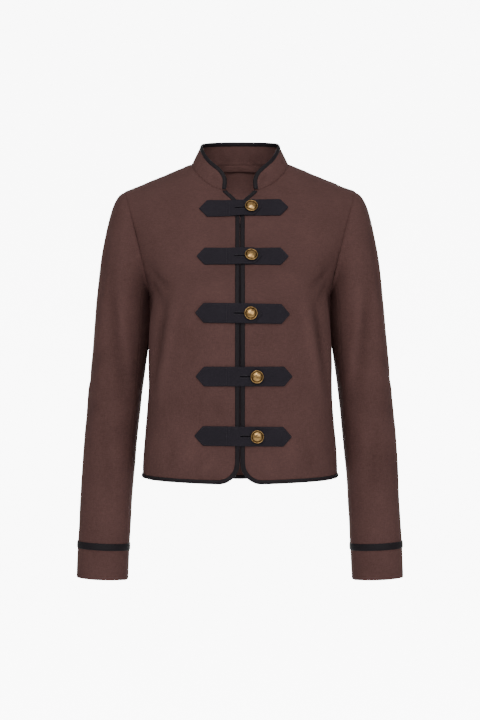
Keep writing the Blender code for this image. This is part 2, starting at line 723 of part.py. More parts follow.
def standing_on(tab, lift):
    """The matrix that stands a turned piece on the cloth at a tab's button, lift above the cloth's middle."""
    point, normal = cloth_at(tab.button_x, tab.z - tab.tilt * tab.button_x, -1, lift)
    return Matrix.Translation(point) @ normal.to_track_quat("Z", "Y").to_matrix().to_4x4()


def button(name, tab):
    """A domed button with a raised rim, and its shank, turned about the cloth's normal."""
    wide = BUTTON_WIDE / 2
    profile = [(wide * share, high) for share, high in BUTTON_OUTLINE]
    profile += [(SHANK_WIDE / 2, 0.0), (SHANK_WIDE / 2, -SHANK_LONG), (0.0, -SHANK_LONG)]
    shape = bmesh.new()
    points = [shape.verts.new((x, 0.0, z)) for x, z in profile]
    for first, second in zip(points, points[1:]):
        shape.edges.new((first, second))
    piece = mesh_object(name, "brass", shape)
    seat = TAB_CLOTH / 2 + SEAM_GAP + tab.ease
    piece.matrix_world = standing_on(tab, lapping_lift(tab, tab.button_x) + seat)
    turned = piece.modifiers.new("turned", "SCREW")
    turned.steps = turned.render_steps = 18
    turned.use_merge_vertices = True
    turned.merge_threshold = 0.00001
    return piece


def shank_hole(piece, tab):
    """The hole through the lapping tab for the button's shank."""
    shape = bmesh.new()
    bmesh.ops.create_cone(shape, cap_ends=True, segments=16, radius1=SHANK_HOLE / 2, radius2=SHANK_HOLE / 2,
                          depth=4 * TAB_CLOTH)
    mesh = bpy.data.meshes.new(piece.name + "_hole")
    shape.to_mesh(mesh)
    shape.free()
    cutter = bpy.data.objects.new(mesh.name, mesh)
    cutter.matrix_world = standing_on(tab, lapping_lift(tab, tab.button_x))
    cutter.hide_render = True
    cutter.display_type = "WIRE"
    bpy.data.collections["cutters"].objects.link(cutter)
    hole = piece.modifiers.new("hole", "BOOLEAN")
    hole.operation = "DIFFERENCE"
    hole.solver = "EXACT"
    hole.object = cutter


def build():
    for old in list(bpy.data.objects):
        bpy.data.objects.remove(old)
    for name in ("military_jacket", "cutters"):
        bpy.context.scene.collection.children.link(bpy.data.collections.new(name))
    for side, hand in ((1, "left"), (-1, "right")):
        front_panel("front_" + hand, side)
        front_binding("front_binding_" + hand, side)
        sleeve_part("sleeve_upper_" + hand, "upper", side)
        sleeve_part("sleeve_under_" + hand, "under", side)
        cuff_band("cuff_band_" + hand, side)
    back_panel("back")
    back_hem_binding("back_hem_binding")
    collar("collar")
    collar_binding("collar_binding")
    neck_tape("neck_tape")
    for number, tab in enumerate(TABS, 1):
        lapping = tab_piece(f"tab_right_{number}", tab, tab.outer_end, TAB_OVERLAP_END,
                            lambda x, tab=tab: lapping_lift(tab, x))
        shank_hole(lapping, tab)
        tab_piece(f"tab_left_{number}", tab, TAB_UNDER_START, tab.inner_end, lambda x, tab=tab: sewn_lift(tab))
        button(f"button_{number}", tab)


build()
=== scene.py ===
import math
from collections import namedtuple

import bmesh
import bpy
import numpy as np
from mathutils import Matrix, Vector, noise
from mathutils.bvhtree import BVHTree
from mathutils.kdtree import KDTree


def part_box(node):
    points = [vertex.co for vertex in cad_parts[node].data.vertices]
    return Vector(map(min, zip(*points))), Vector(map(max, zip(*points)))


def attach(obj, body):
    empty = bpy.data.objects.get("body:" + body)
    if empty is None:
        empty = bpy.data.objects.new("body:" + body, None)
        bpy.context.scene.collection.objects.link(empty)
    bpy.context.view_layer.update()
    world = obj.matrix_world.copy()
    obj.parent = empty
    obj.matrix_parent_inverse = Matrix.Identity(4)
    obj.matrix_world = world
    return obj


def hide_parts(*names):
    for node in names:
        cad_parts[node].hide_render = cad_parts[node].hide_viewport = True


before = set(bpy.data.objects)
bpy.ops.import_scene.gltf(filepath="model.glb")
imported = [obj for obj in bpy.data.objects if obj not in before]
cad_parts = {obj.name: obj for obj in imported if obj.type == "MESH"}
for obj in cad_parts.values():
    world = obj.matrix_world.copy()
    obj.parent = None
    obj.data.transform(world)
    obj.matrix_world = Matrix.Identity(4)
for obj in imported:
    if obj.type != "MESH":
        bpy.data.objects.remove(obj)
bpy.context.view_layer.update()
bodyName = "root"
hands = {"left": 1, "right": -1}
print("frame loaded:", len(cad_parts), "nodes")


# Shader sockets and materials
class Wire:
    # one output of a material's tree: sums, differences, products and quotients add Math nodes

    def __init__(self, tree, socket=None):
        self.tree = tree
        self.socket = socket

    def node(self, kind, settings, sockets, output=0):
        made = self.tree.nodes.new(kind)
        for name, value in settings.items():
            setattr(made, name, value)
        for name, value in sockets.items():
            if isinstance(value, Wire):
                self.tree.links.new(value.socket, made.inputs[name])
            else:
                made.inputs[name].default_value = value
        return Wire(self.tree, made.outputs[output])

    def math(self, operation, first, second=0.0):
        return self.node("ShaderNodeMath", {"operation": operation}, {0: first, 1: second})

    def limited(self):
        return self.node("ShaderNodeClamp", {}, {"Value": self})

    def __add__(self, other):
        return self.math("ADD", self, other)

    __radd__ = __add__

    def __mul__(self, other):
        return self.math("MULTIPLY", self, other)

    __rmul__ = __mul__

    def __sub__(self, other):
        return self.math("SUBTRACT", self, other)

    def __rsub__(self, other):
        return self.math("SUBTRACT", other, self)

    def __truediv__(self, other):
        return self.math("DIVIDE", self, other)


def linear(red, green, blue):
    # a colour picked on screen, 0 to 255, as the shader wants it
    return tuple((part / 255) ** 2.2 for part in (red, green, blue)) + (1.0,)


def freshMaterial(name):
    # the material, a wire into its tree and its shader
    material = bpy.data.materials.new(name)
    material.use_nodes = True
    tree = material.node_tree
    return material, Wire(tree), tree.nodes["Principled BSDF"]


def plug(wire, shader, name):
    wire.tree.links.new(wire.socket, shader.inputs[name])


def speckle(wire, scale, stretch=(1, 1, 1), detail=2.0, roughness=0.5):
    # noise on Object coordinates, finer along the axes with the larger stretch
    place = wire.node("ShaderNodeTexCoord", {}, {}, "Object")
    place = wire.node("ShaderNodeMapping", {}, {"Vector": place, "Scale": stretch})
    return wire.node("ShaderNodeTexNoise", {}, {"Vector": place, "Scale": scale, "Detail": detail, "Roughness": roughness})


def blend(wire, factor, dark, light):
    return wire.node("ShaderNodeMix", {"data_type": "RGBA"}, {0: factor, 6: dark, 7: light}, 2)


def wovenMaterial(name, look):
    # crossed threads, a soft nap and slow changes of tone; painted shade darkens the hollows of the folds and the seam
    # grooves, and painted highlight lightens the ridges
    material, wire, shader = freshMaterial(name)
    threads = look["threads"]
    warp = speckle(wire, threads, (1, 1, look["slub"]))
    weft = speckle(wire, threads, (look["slub"], look["slub"], 1))
    nap = speckle(wire, threads * 0.45, detail=3.0, roughness=0.65)
    slow = speckle(wire, look["blotch"], detail=3.0)
    # painted shade and highlight: a colour shift read from the height of the folds and seams
    shade = wire.node("ShaderNodeAttribute", {"attribute_name": "paintedFoldShading"}, {}, "Fac")
    weave = warp * 0.5 + weft * 0.5
    factor = (weave - 0.5) * look["grain"] + (nap - 0.5) * look["fuzz"] + (slow - 0.5) * look["drift"] + shade
    plug(blend(wire, (factor + 0.5).limited(), look["dark"], look["light"]), shader, "Base Color")
    plug((nap * 0.18 + look["roughness"] - 0.09).limited(), shader, "Roughness")
    height = weave * 0.7 + nap * 0.3
    bump = wire.node("ShaderNodeBump", {}, {"Height": height, "Strength": look["bump"], "Distance": look["depth"]})
    plug(bump, shader, "Normal")
    shader.inputs["Sheen Weight"].default_value = look["sheen"]
    shader.inputs["Sheen Roughness"].default_value = 0.45
    shader.inputs["Sheen Tint"].default_value = look["light"]
    shader.inputs["Specular IOR Level"].default_value = look["specular"]
    return material


clothLook = {
    "dark": linear(47, 32, 30), "light": linear(100, 73, 70), "threads": 1500.0, "slub": 0.10, "blotch": 14.0,
    "grain": 0.60, "fuzz": 0.40, "drift": 0.26, "roughness": 0.86, "bump": 0.5, "depth": 0.0006,
    "sheen": 0.10, "specular": 0.12,
}
bindingLook = {
    "dark": linear(13, 11, 13), "light": linear(36, 31, 35), "threads": 1900.0, "slub": 0.2, "blotch": 30.0,
    "grain": 0.5, "fuzz": 0.3, "drift": 0.25, "roughness": 0.66, "bump": 0.4, "depth": 0.0004,
    "sheen": 0.02, "specular": 0.18,
}
tabLook = {
    "dark": linear(18, 17, 20), "light": linear(46, 42, 49), "threads": 1700.0, "slub": 0.12, "blotch": 26.0,
    "grain": 0.6, "fuzz": 0.35, "drift": 0.25, "roughness": 0.8, "bump": 0.5, "depth": 0.0005,
    "sheen": 0.08, "specular": 0.15,
}
threadLook = {
    "dark": linear(12, 11, 13), "light": linear(50, 46, 53), "threads": 2600.0, "slub": 0.4, "blotch": 60.0,
    "grain": 0.5, "fuzz": 0.3, "drift": 0.2, "roughness": 0.55, "bump": 0.3, "depth": 0.0002,
    "sheen": 0.05, "specular": 0.3,
}
brassLook = {
    "bright": linear(203, 166, 110), "worn": linear(122, 90, 52), "tarnish": linear(40, 27, 16),
    "spots": 260.0, "scratches": 900.0,
}


def brassMaterial(name, look):
    # antiqued brass: tarnish in the hollows, rubbed bright on the dome and the rim
    material, wire, shader = freshMaterial(name)
    spots = speckle(wire, look["spots"], detail=4.0, roughness=0.6)
    scratches = speckle(wire, look["scratches"], (1, 0.15, 1))
    hollow = wire.node("ShaderNodeAttribute", {"attribute_name": "hollow"}, {}, "Fac")
    rubbed = (spots * 1.6 - 0.35).limited()
    metal = blend(wire, rubbed, look["worn"], look["bright"])
    dirt = (hollow + (0.5 - spots) * 0.6).limited()
    plug(blend(wire, dirt, metal, look["tarnish"]), shader, "Base Color")
    plug((0.15 + spots * 0.14 + hollow * 0.35).limited(), shader, "Roughness")
    bump = wire.node("ShaderNodeBump", {}, {"Height": spots * 0.6 + scratches * 0.4, "Strength": 0.25,
                                            "Distance": 0.0004})
    plug(bump, shader, "Normal")
    shader.inputs["Metallic"].default_value = 1.0
    return material


materials = {
    "cloth": wovenMaterial("brushedCloth", clothLook),
    "binding": wovenMaterial("blackBinding", bindingLook),
    "tab": wovenMaterial("charcoalTab", tabLook),
    "thread": wovenMaterial("darkThread", threadLook),
    # near-black cord material: painted shadow in the buttonhole slits
    "slitShade": wovenMaterial("slitShadow", {**threadLook, "dark": linear(1, 1, 1), "light": linear(5, 4, 5), "sheen": 0.0, "specular": 0.0}),
    "brass": brassMaterial("antiqueBrass", brassLook),
}
print("materials made:", len(materials))


# Meshes from the frame
def mergedNode(nodeName):
    # the node's solid with its loose triangles joined
    shape = bmesh.new()
    shape.from_mesh(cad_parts[nodeName].data)
    bmesh.ops.remove_doubles(shape, verts=shape.verts, dist=0.00002)
    return shape


def joinedQuads(shape):
    bmesh.ops.join_triangles(shape, faces=shape.faces, angle_face_threshold=0.9, angle_shape_threshold=0.9)


def outerSheet(nodeName, sharpTurn=58):
    # the outer side of a wall of cloth: the largest region between its sharp edges
    shape = mergedNode(nodeName)
    limit = math.radians(sharpTurn)
    unseen = set(shape.faces)
    regions = []
    while unseen:
        region = {unseen.pop()}
        front = list(region)
        while front:
            for edge in front.pop().edges:
                if len(edge.link_faces) != 2 or edge.calc_face_angle() > limit:
                    continue
                for face in edge.link_faces:
                    if face in unseen:
                        unseen.remove(face)
                        region.add(face)
                        front.append(face)
        regions.append(region)
    keep = max(regions, key=lambda region: sum(face.calc_area() for face in region))
    bmesh.ops.delete(shape, geom=[face for face in shape.faces if face not in keep], context="FACES")
    joinedQuads(shape)
    return shape


def objectFrom(shape, name):
    mesh = bpy.data.meshes.new(name)
    shape.to_mesh(mesh)
    shape.free()
    piece = bpy.data.objects.new(name, mesh)
    bpy.context.scene.collection.objects.link(piece)
    return piece


def applied(piece):
    # the piece with its modifiers worked into its mesh
    graph = bpy.context.evaluated_depsgraph_get()
    mesh = bpy.data.meshes.new_from_object(piece.evaluated_get(graph))
    old = piece.data
    piece.modifiers.clear()
    piece.data = mesh
    bpy.data.meshes.remove(old)
    return piece


def addSubdivision(piece, levels):
    softened = piece.modifiers.new("soften", "SUBSURF")
    softened.levels = softened.render_levels = levels
    softened.boundary_smooth = "PRESERVE_CORNERS"


def pointsOf(piece):
    points = np.empty(len(piece.data.vertices) * 3)
    piece.data.vertices.foreach_get("co", points)
    return points.reshape(-1, 3)


def normalsOf(piece):
    normals = np.empty(len(piece.data.vertices) * 3)
    piece.data.vertex_normals.foreach_get("vector", normals)
    return normals.reshape(-1, 3)


def setPoints(piece, points):
    piece.data.vertices.foreach_set("co", points.ravel())
    piece.data.update()


def setAttribute(piece, name, values):
    made = piece.data.attributes.new(name, "FLOAT", "POINT")
    made.data.foreach_set("value", values)


def treeOf(piece):
    return BVHTree.FromPolygons([tuple(p) for p in pointsOf(piece)], [tuple(f.vertices) for f in piece.data.polygons])


def finishPiece(piece, node, finish):
    piece.data.materials.clear()
    piece.data.materials.append(materials[finish])
    piece.data.shade_smooth()
    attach(piece, bodyName)
    if node:
        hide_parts(node)
    return piece


# Cloth shells
shellLook = {"levels": 2, "thickness": 0.0013, "seamReach": 0.0065, "overlap": 0.0007, "cornerReach": 0.0014,
             "seamSink": 0.0005, "groove": 0.0035,
             "tuck": 0.0026, "tuckReach": 0.0030, "pucker": 0.0006, "puckerReach": 0.016, "unevenness": 0.0010}

# Cuts: the flat size of each piece, width by length, and its area
Cut = namedtuple("Cut", "wide long area")
cuts = {
    "front": Cut(0.262, 0.553, 0.0982),
    "back": Cut(0.620, 0.560, 0.2301),
    "sleeve_upper": Cut(0.314, 0.645, 0.1143),
    "sleeve_under": Cut(0.156, 0.490, 0.0563),
    "collar": Cut(0.426, 0.040, 0.0113),
}
clothPieces = {"back": "back", "collar": "collar"}
for hand in hands:
    clothPieces["front_" + hand] = "front"
    clothPieces["sleeve_upper_" + hand] = "sleeve_upper"
    clothPieces["sleeve_under_" + hand] = "sleeve_under"

shells = {}
for node in clothPieces:
    shell = objectFrom(outerSheet(node), node + "_cloth")
    addSubdivision(shell, shellLook["levels"])
    shells[node] = applied(shell)
print("cloth shells:", {node: len(shell.data.polygons) for node, shell in shells.items()})

# Creases: seen from the front, back or a sleeve's outer side, a curve from start through bend to end in that
# view's metres, across and up, or between three places in space. wide is the half width and rise the height, negative for a hollow.
Crease = namedtuple("Crease", "seen start bend end wide rise")
bothSides = (
    Crease("front", (0.142, -0.176), (0.128, -0.196), (0.108, -0.205), 0.007, -0.0022),
    Crease("front", (0.143, -0.190), (0.133, -0.212), (0.120, -0.236), 0.008, -0.0020),
    Crease("front", (0.100, -0.215), (0.114, -0.300), (0.132, -0.400), 0.013, 0.0028),
    Crease("front", (0.117, -0.215), (0.131, -0.290), (0.141, -0.370), 0.011, -0.0040),
    Crease("front", (0.211, -0.156), (0.207, -0.286), (0.186, -0.384), 0.013, -0.0034),
    Crease("front", (0.197, -0.190), (0.188, -0.290), (0.174, -0.362), 0.011, 0.0018),
    Crease("front", (0.226, -0.400), (0.216, -0.470), (0.212, -0.560), 0.013, -0.0020),
    Crease("front", (0.060, -0.420), (0.078, -0.450), (0.088, -0.500), 0.014, 0.0016),
    Crease("front", (0.100, -0.440), (0.112, -0.465), (0.116, -0.505), 0.012, -0.0016),
    Crease("back", (0.138, -0.190), (0.120, -0.215), (0.094, -0.228), 0.009, -0.0022),
    Crease("back", (0.142, -0.235), (0.118, -0.290), (0.110, -0.370), 0.014, -0.0020),
    Crease("back", (0.060, -0.330), (0.030, -0.345), (0.000, -0.338), 0.012, 0.0014),
    Crease("back", (0.075, -0.365), (0.040, -0.378), (0.006, -0.372), 0.012, -0.0014),
    Crease("back", (0.070, -0.430), (0.082, -0.470), (0.086, -0.512), 0.016, 0.0018),
    Crease("outer", (-0.030, -0.105), (-0.040, -0.170), (-0.030, -0.250), 0.010, -0.0020),
    Crease("outer", (0.034, -0.120), (0.046, -0.190), (0.038, -0.270), 0.011, -0.0022),
    Crease("outer", (-0.050, -0.300), (-0.018, -0.345), (0.020, -0.360), 0.010, -0.0016),
    Crease("outer", (-0.052, -0.335), (-0.010, -0.372), (0.030, -0.372), 0.011, 0.0012),
    Crease("outer", (-0.048, -0.380), (-0.020, -0.410), (0.010, -0.415), 0.010, -0.0018),
    Crease("outer", (-0.010, -0.520), (-0.018, -0.560), (-0.015, -0.610), 0.012, -0.0014),
)

oneSide = (
    Crease("front", (0.010, -0.106), (0.020, -0.103), (0.034, -0.094), 0.0045, -0.0016),
    Crease("front", (0.013, -0.060), (0.024, -0.056), (0.040, -0.049), 0.0045, -0.0012),
    Crease("front", (0.010, -0.289), (0.018, -0.294), (0.027, -0.296), 0.0050, -0.0014),
    Crease("front", (-0.052, -0.386), (-0.034, -0.402), (-0.018, -0.412), 0.0110, -0.0016),
    Crease("front", (0.046, -0.392), (0.034, -0.402), (0.018, -0.410), 0.0100, -0.0014),
    Crease("front", (-0.062, -0.300), (-0.080, -0.318), (-0.096, -0.345), 0.0120, -0.0014),
    Crease("front", (-0.020, -0.200), (-0.045, -0.212), (-0.075, -0.214), 0.0130, 0.0012),
    Crease("front", (0.060, -0.180), (0.085, -0.195), (0.112, -0.200), 0.0120, 0.0012),
    Crease("front", (-0.030, -0.476), (-0.050, -0.486), (-0.068, -0.506), 0.0090, 0.0014),
    Crease("front", (0.036, -0.470), (0.046, -0.486), (0.050, -0.508), 0.0090, 0.0012),
)

underArm = (
    Crease("places", (0.1480, -0.004, -0.206), (0.1485, 0.004, -0.236), (0.1505, 0.006, -0.282), 0.021, 0.0015),
    Crease("places", (0.1495, -0.004, -0.222), (0.1500, 0.006, -0.262), (0.1520, 0.008, -0.316), 0.024, 0.0011),
    Crease("places", (0.1500, 0.000, -0.250), (0.1510, 0.004, -0.288), (0.1550, 0.006, -0.334), 0.022, 0.0012),
    Crease("places", (0.1475, -0.004, -0.192), (0.1478, 0.000, -0.218), (0.1482, 0.004, -0.244), 0.018, 0.0014),
)
onCollar = (
    Crease("front", (0.047, -0.018), (0.040, -0.028), (0.030, -0.035), 0.0045, -0.0011),
    Crease("front", (0.056, -0.004), (0.050, -0.012), (0.047, -0.022), 0.0060, 0.0009),
    Crease("back", (0.040, 0.036), (0.026, 0.020), (0.018, 0.006), 0.0080, -0.0012),
    Crease("back", (0.008, 0.038), (-0.004, 0.022), (-0.010, 0.007), 0.0070, 0.0010),
)


def onShells(seen, across, up, side, trees):
    # the place on the cloth that a view shows there, or None
    if seen == "outer":
        origin, direction = Vector((side * 0.6, across, up)), Vector((-side, 0, 0))
    else:
        face = -1 if seen == "front" else 1
        origin, direction = Vector((side * across, face * 0.6, up)), Vector((0, -face, 0))
    best = None
    for tree in trees:
        place, _, _, distance = tree.ray_cast(origin, direction)
        if place is not None and (best is None or distance < best[1]):
            best = (place, distance)
    return best and best[0]


def creasePath(crease, side, trees, count=16):
    start, bend, end = (np.array(place) for place in (crease.start, crease.bend, crease.end))
    path = []
    for step in range(count + 1):
        share = step / count
        place = (1 - share) ** 2 * start + 2 * share * (1 - share) * bend + share**2 * end
        if crease.seen == "places":
            place = place * (side, 1, 1)
        else:
            place = onShells(crease.seen, *place, side, trees)
        if place is not None:
            path.append(place)
    return np.array([tuple(place) for place in path])


def creaseHeight(points, path, crease):
    # a soft ridge or hollow along the path, with a weak opposite flank, fading at both ends
    best = np.full(len(points), 9.0)
    share = np.zeros(len(points))
    for i in range(len(path) - 1):
        start, along = path[i], path[i + 1] - path[i]
        t = np.clip((points - start) @ along / (along @ along), 0, 1)
        away = np.linalg.norm(points - start - t[:, None] * along, axis=1)
        closer = away < best
        best[closer] = away[closer]
        share[closer] = (i + t[closer]) / (len(path) - 1)
    u = (best / crease.wide) ** 2
    return crease.rise * np.exp(-u) * (1 - 0.45 * u) * np.sin(math.pi * np.clip(share, 0.02, 0.98)) ** 0.8


def uneven(points, scale, seed):
    offset = Vector((seed, seed * 1.7, -seed))
    return np.array([noise.noise(Vector(point) * scale + offset) for point in points])


rest = {node: pointsOf(shell) for node, shell in shells.items()}
out = {node: normalsOf(shell) for node, shell in shells.items()}
lifts = {node: np.zeros(len(rest[node])) for node in shells}
trees = {node: treeOf(shell) for node, shell in shells.items()}
body = [node for node in shells if node != "collar"]
laid = 0
for side, creases, nodes in ((1, bothSides + underArm + oneSide, body), (-1, bothSides + underArm, body),
                             (1, onCollar, ["collar"]), (-1, onCollar[:3], ["collar"])):
    for crease in creases:
        path = creasePath(crease, side, [trees[node] for node in nodes])
        if len(path) < 4:
            continue
        laid += 1
        for node in nodes:
            lifts[node] += creaseHeight(rest[node], path, crease)
for node in shells:
    lifts[node] += shellLook["unevenness"] * uneven(rest[node], 14.0, 3.0)
    lifts[node] += shellLook["unevenness"] * 0.5 * uneven(rest[node], 33.0, 8.0)
print("creases laid:", laid)

# Every trim follows the cloth that it is sewn to
places = np.concatenate([rest[node] for node in shells])
carried = np.concatenate([out[node] * lifts[node][:, None] for node in shells])
nearest = KDTree(len(places))
for index, place in enumerate(places):
    nearest.insert(place, index)
nearest.balance()


def clothMove(point):
    # how far the creases carry what lies on the cloth at a point
    found = nearest.find_n(point, 4)
    weights = np.array([1 / (distance + 1e-5) for _, _, distance in found])
    return (carried[[index for _, index, _ in found]] * (weights / weights.sum())[:, None]).sum(0)


def followCloth(piece):
    points = pointsOf(piece)
    setPoints(piece, points + np.array([clothMove(point) for point in points]))


# Seams: each edge moves half way to the cloth that it is sewn to and sinks into a groove
def edgeDirections(piece):
    # each vertex on a shell's edge, and the way out of the cloth there
    shape = bmesh.new()
    shape.from_mesh(piece.data)
    found = {}
    for vert in shape.verts:
        if not vert.is_boundary:
            continue
        inner = [edge.other_vert(vert).co for edge in vert.link_edges if not edge.is_boundary]
        if not inner:
            inner = [face.calc_center_median() for face in vert.link_faces]
        middle = sum(inner, Vector()) / len(inner)
        found[vert.index] = (vert.co - middle).normalized()
    shape.free()
    return found


edges = {node: edgeDirections(shell) for node, shell in shells.items()}
trimmed = {node: shell.data.copy() for node, shell in shells.items()}
boundShape = bmesh.new()
for node in ("front_binding_left", "front_binding_right", "back_hem_binding", "collar_binding"):
    boundShape.from_mesh(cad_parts[node].data)
boundTree = BVHTree.FromBMesh(boundShape)
boundShape.free()
seamPlaces = {}
seamMoves = {}
tucked = {node: set() for node in shells}
for node in shells:
    closing = {}
    for index in edges[node]:
        point = Vector(rest[node][index])
        bound = boundTree.find_nearest(point, shellLook["tuckReach"])
        if bound[0] is not None:
            closing[index] = edges[node][index] * shellLook["tuck"]
            tucked[node].add(index)
            continue
        found = [trees[other].find_nearest(point, shellLook["seamReach"]) for other in shells if other != node]
        found = [(hit[3], hit[0]) for hit in found if hit[0] is not None]
        if found:
            # at a corner where several pieces meet, towards each of them
            reach = min(found)[0] + shellLook["cornerReach"]
            moves = [(place - point) * 0.5 for distance, place in found if distance < reach]
            closing[index] = sum(moves, Vector()) + edges[node][index] * shellLook["overlap"]
    seamMoves[node] = closing
    seamPlaces[node] = list(closing)

for node, shell in shells.items():
    points, normals = rest[node], out[node]
    height = lifts[node].copy()
    seam = KDTree(max(1, len(seamPlaces[node])))
    for index in seamPlaces[node]:
        seam.insert(points[index], index)
    seam.balance()
    moved = np.zeros_like(points)
    for index, point in enumerate(points):
        if not seamPlaces[node]:
            break
        sewn, _, distance = seam.find(point)
        if distance < shellLook["groove"]:
            height[index] -= shellLook["seamSink"] * (1 - distance / shellLook["groove"]) ** 2
        if distance < shellLook["puckerReach"]:
            ripple = noise.noise(sewn * 95.0)
            height[index] += shellLook["pucker"] * ripple * (1 - distance / shellLook["puckerReach"]) ** 2
    for index, move in seamMoves[node].items():
        moved[index] = move
    setPoints(shell, points + normals * height[:, None] + moved)
    # painted shade in crease hollows and seam grooves and painted highlight on ridges, from the surface height
    setAttribute(shell, "paintedFoldShading", np.clip(height * 45.0, -0.22, 0.16))
    wall = shell.modifiers.new("wall", "SOLIDIFY")
    wall.thickness = shellLook["thickness"]
    wall.offset = -1
    addSubdivision(shell, 1)
    finishPiece(shell, node, "cloth")
    cut = cuts[clothPieces[node]]
print("seams closed and sunk")


# Bindings, bands and the neck tape, finer copies of their solids that follow the cloth
def softCopy(node, finish, crisp=0.0, plump=0.0, wobble=0.00012):
    shape = mergedNode(node)
    joinedQuads(shape)
    if crisp:
        creases = shape.edges.layers.float.new("crease_edge")
        for edge in shape.edges:
            if len(edge.link_faces) == 2 and edge.calc_face_angle() > math.radians(40):
                edge[creases] = crisp
    piece = objectFrom(shape, node + "_soft")
    addSubdivision(piece, 2)
    applied(piece)
    followCloth(piece)
    points = pointsOf(piece)
    setPoints(piece, points + normalsOf(piece) * (plump + wobble * uneven(points, 130.0, 5.0))[:, None])
    setAttribute(piece, "paintedFoldShading", np.zeros(len(points)))
    return finishPiece(piece, node, finish)


strips = {
    "front_binding_left": ("binding", "trim", Cut(0.0100, 0.622, 0.0053)),
    "front_binding_right": ("binding", "trim", Cut(0.0100, 0.622, 0.0053)),
    "back_hem_binding": ("binding", "trim", Cut(0.0100, 0.562, 0.0043)),
    "collar_binding": ("binding", "trim", Cut(0.0100, 0.420, 0.0031)),
    "cuff_band_left": ("binding", "trim", Cut(0.0130, 0.280, 0.0036)),
    "cuff_band_right": ("binding", "trim", Cut(0.0130, 0.280, 0.0036)),
    "neck_tape": ("cloth", "cloth", Cut(0.0112, 0.118, 0.0013)),
}
sewn = {}
for node, (finish, slotName, cut) in strips.items():
    strip = softCopy(node, finish, plump=0.00045 if "_binding" in node else 0.0)
    sewn[node] = strip
print("bindings and bands:", len(strips))


# Tabs
for number in range(1, 6):
    for hand in hands:
        softTab = softCopy(f"tab_{hand}_{number}", "tab", crisp=0.8)
        sewn[f"tab_{hand}_{number}"] = softTab
print("tabs: 10")


# Stitches: short threads laid along lines by Geometry Nodes, and in the same way near-black cords as painted shadow in
# the buttonhole slits
stitchLook = {
    "edge": {"Spacing": 0.0030, "Length": 0.0023, "Radius": 0.00022, "Turn": 0.0},
    "buttonhole": {"Spacing": 0.0008, "Length": 0.0020, "Radius": 0.00024, "Turn": 1.0},
    # near-black cord along each buttonhole: painted shadow in its cut
    "slitShade": {"Spacing": 0.0008, "Length": 0.0022, "Radius": 0.00062, "Turn": 0.0},
}


def stitchTree():
    # lines with an outward direction in, one thread per step along them out
    tree = bpy.data.node_groups.new("stitchRun", "GeometryNodeTree")
    sockets = {"Lines": "NodeSocketGeometry", "Spacing": "NodeSocketFloat", "Length": "NodeSocketFloat",
               "Radius": "NodeSocketFloat", "Turn": "NodeSocketFloat", "Thread": "NodeSocketMaterial"}
    for name, kind in sockets.items():
        tree.interface.new_socket(name, in_out="INPUT", socket_type=kind)
    tree.interface.new_socket("Stitches", in_out="OUTPUT", socket_type="NodeSocketGeometry")
    given = tree.nodes.new("NodeGroupInput")
    result = tree.nodes.new("NodeGroupOutput")

    def node(kind, settings, links):
        made = tree.nodes.new(kind)
        for name, value in settings.items():
            setattr(made, name, value)
        for name, value in links.items():
            if isinstance(value, bpy.types.NodeSocket):
                tree.links.new(value, made.inputs[name])
            else:
                made.inputs[name].default_value = value
        return made

    curve = node("GeometryNodeMeshToCurve", {}, {"Mesh": given.outputs["Lines"]})
    steps = node("GeometryNodeResampleCurve", {"mode": "LENGTH"},
                 {"Curve": curve.outputs["Curve"], "Length": given.outputs["Spacing"]})
    tangent = node("GeometryNodeInputTangent", {}, {})
    outward = node("GeometryNodeInputNamedAttribute", {"data_type": "FLOAT_VECTOR"}, {"Name": "outward"})
    crossing = node("ShaderNodeVectorMath", {"operation": "CROSS_PRODUCT"},
                    {0: tangent.outputs["Tangent"], 1: outward.outputs["Attribute"]})
    facing = node("ShaderNodeMix", {"data_type": "VECTOR"},
                  {0: given.outputs["Turn"], 4: tangent.outputs["Tangent"], 5: crossing.outputs["Vector"]})
    turned = node("FunctionNodeAlignRotationToVector", {"axis": "Z"}, {"Vector": facing.outputs[1]})
    half = node("ShaderNodeMath", {"operation": "MULTIPLY"}, {0: given.outputs["Length"], 1: 0.5})
    size = node("ShaderNodeCombineXYZ", {}, {"X": given.outputs["Radius"], "Y": given.outputs["Radius"],
                                             "Z": half.outputs["Value"]})
    ball = node("GeometryNodeMeshUVSphere", {}, {"Segments": 6, "Rings": 5, "Radius": 1.0})
    thread = node("GeometryNodeTransform", {}, {"Geometry": ball.outputs["Mesh"], "Scale": size.outputs["Vector"]})
    uneven = node("FunctionNodeRandomValue", {"data_type": "FLOAT"}, {2: 0.85, 3: 1.12, "Seed": 11})
    laid = node("GeometryNodeInstanceOnPoints", {},
                {"Points": steps.outputs["Curve"], "Instance": thread.outputs["Geometry"],
                 "Rotation": turned.outputs["Rotation"], "Scale": uneven.outputs[1]})
    real = node("GeometryNodeRealizeInstances", {}, {"Geometry": laid.outputs["Instances"]})
    dressed = node("GeometryNodeSetMaterial", {},
                   {"Geometry": real.outputs["Geometry"], "Material": given.outputs["Thread"]})
    tree.links.new(dressed.outputs["Geometry"], result.inputs["Stitches"])
    return tree


def finalTree(piece):
    return BVHTree.FromObject(piece, bpy.context.evaluated_depsgraph_get())


def onSurface(guide, tree, sink=0.0):
    # a line's points brought to a piece's surface, each with the direction out of it
    found = [tree.find_nearest(Vector(place)) for place in guide]
    return [(place + normal * -sink, normal) for place, normal, _, _ in found]


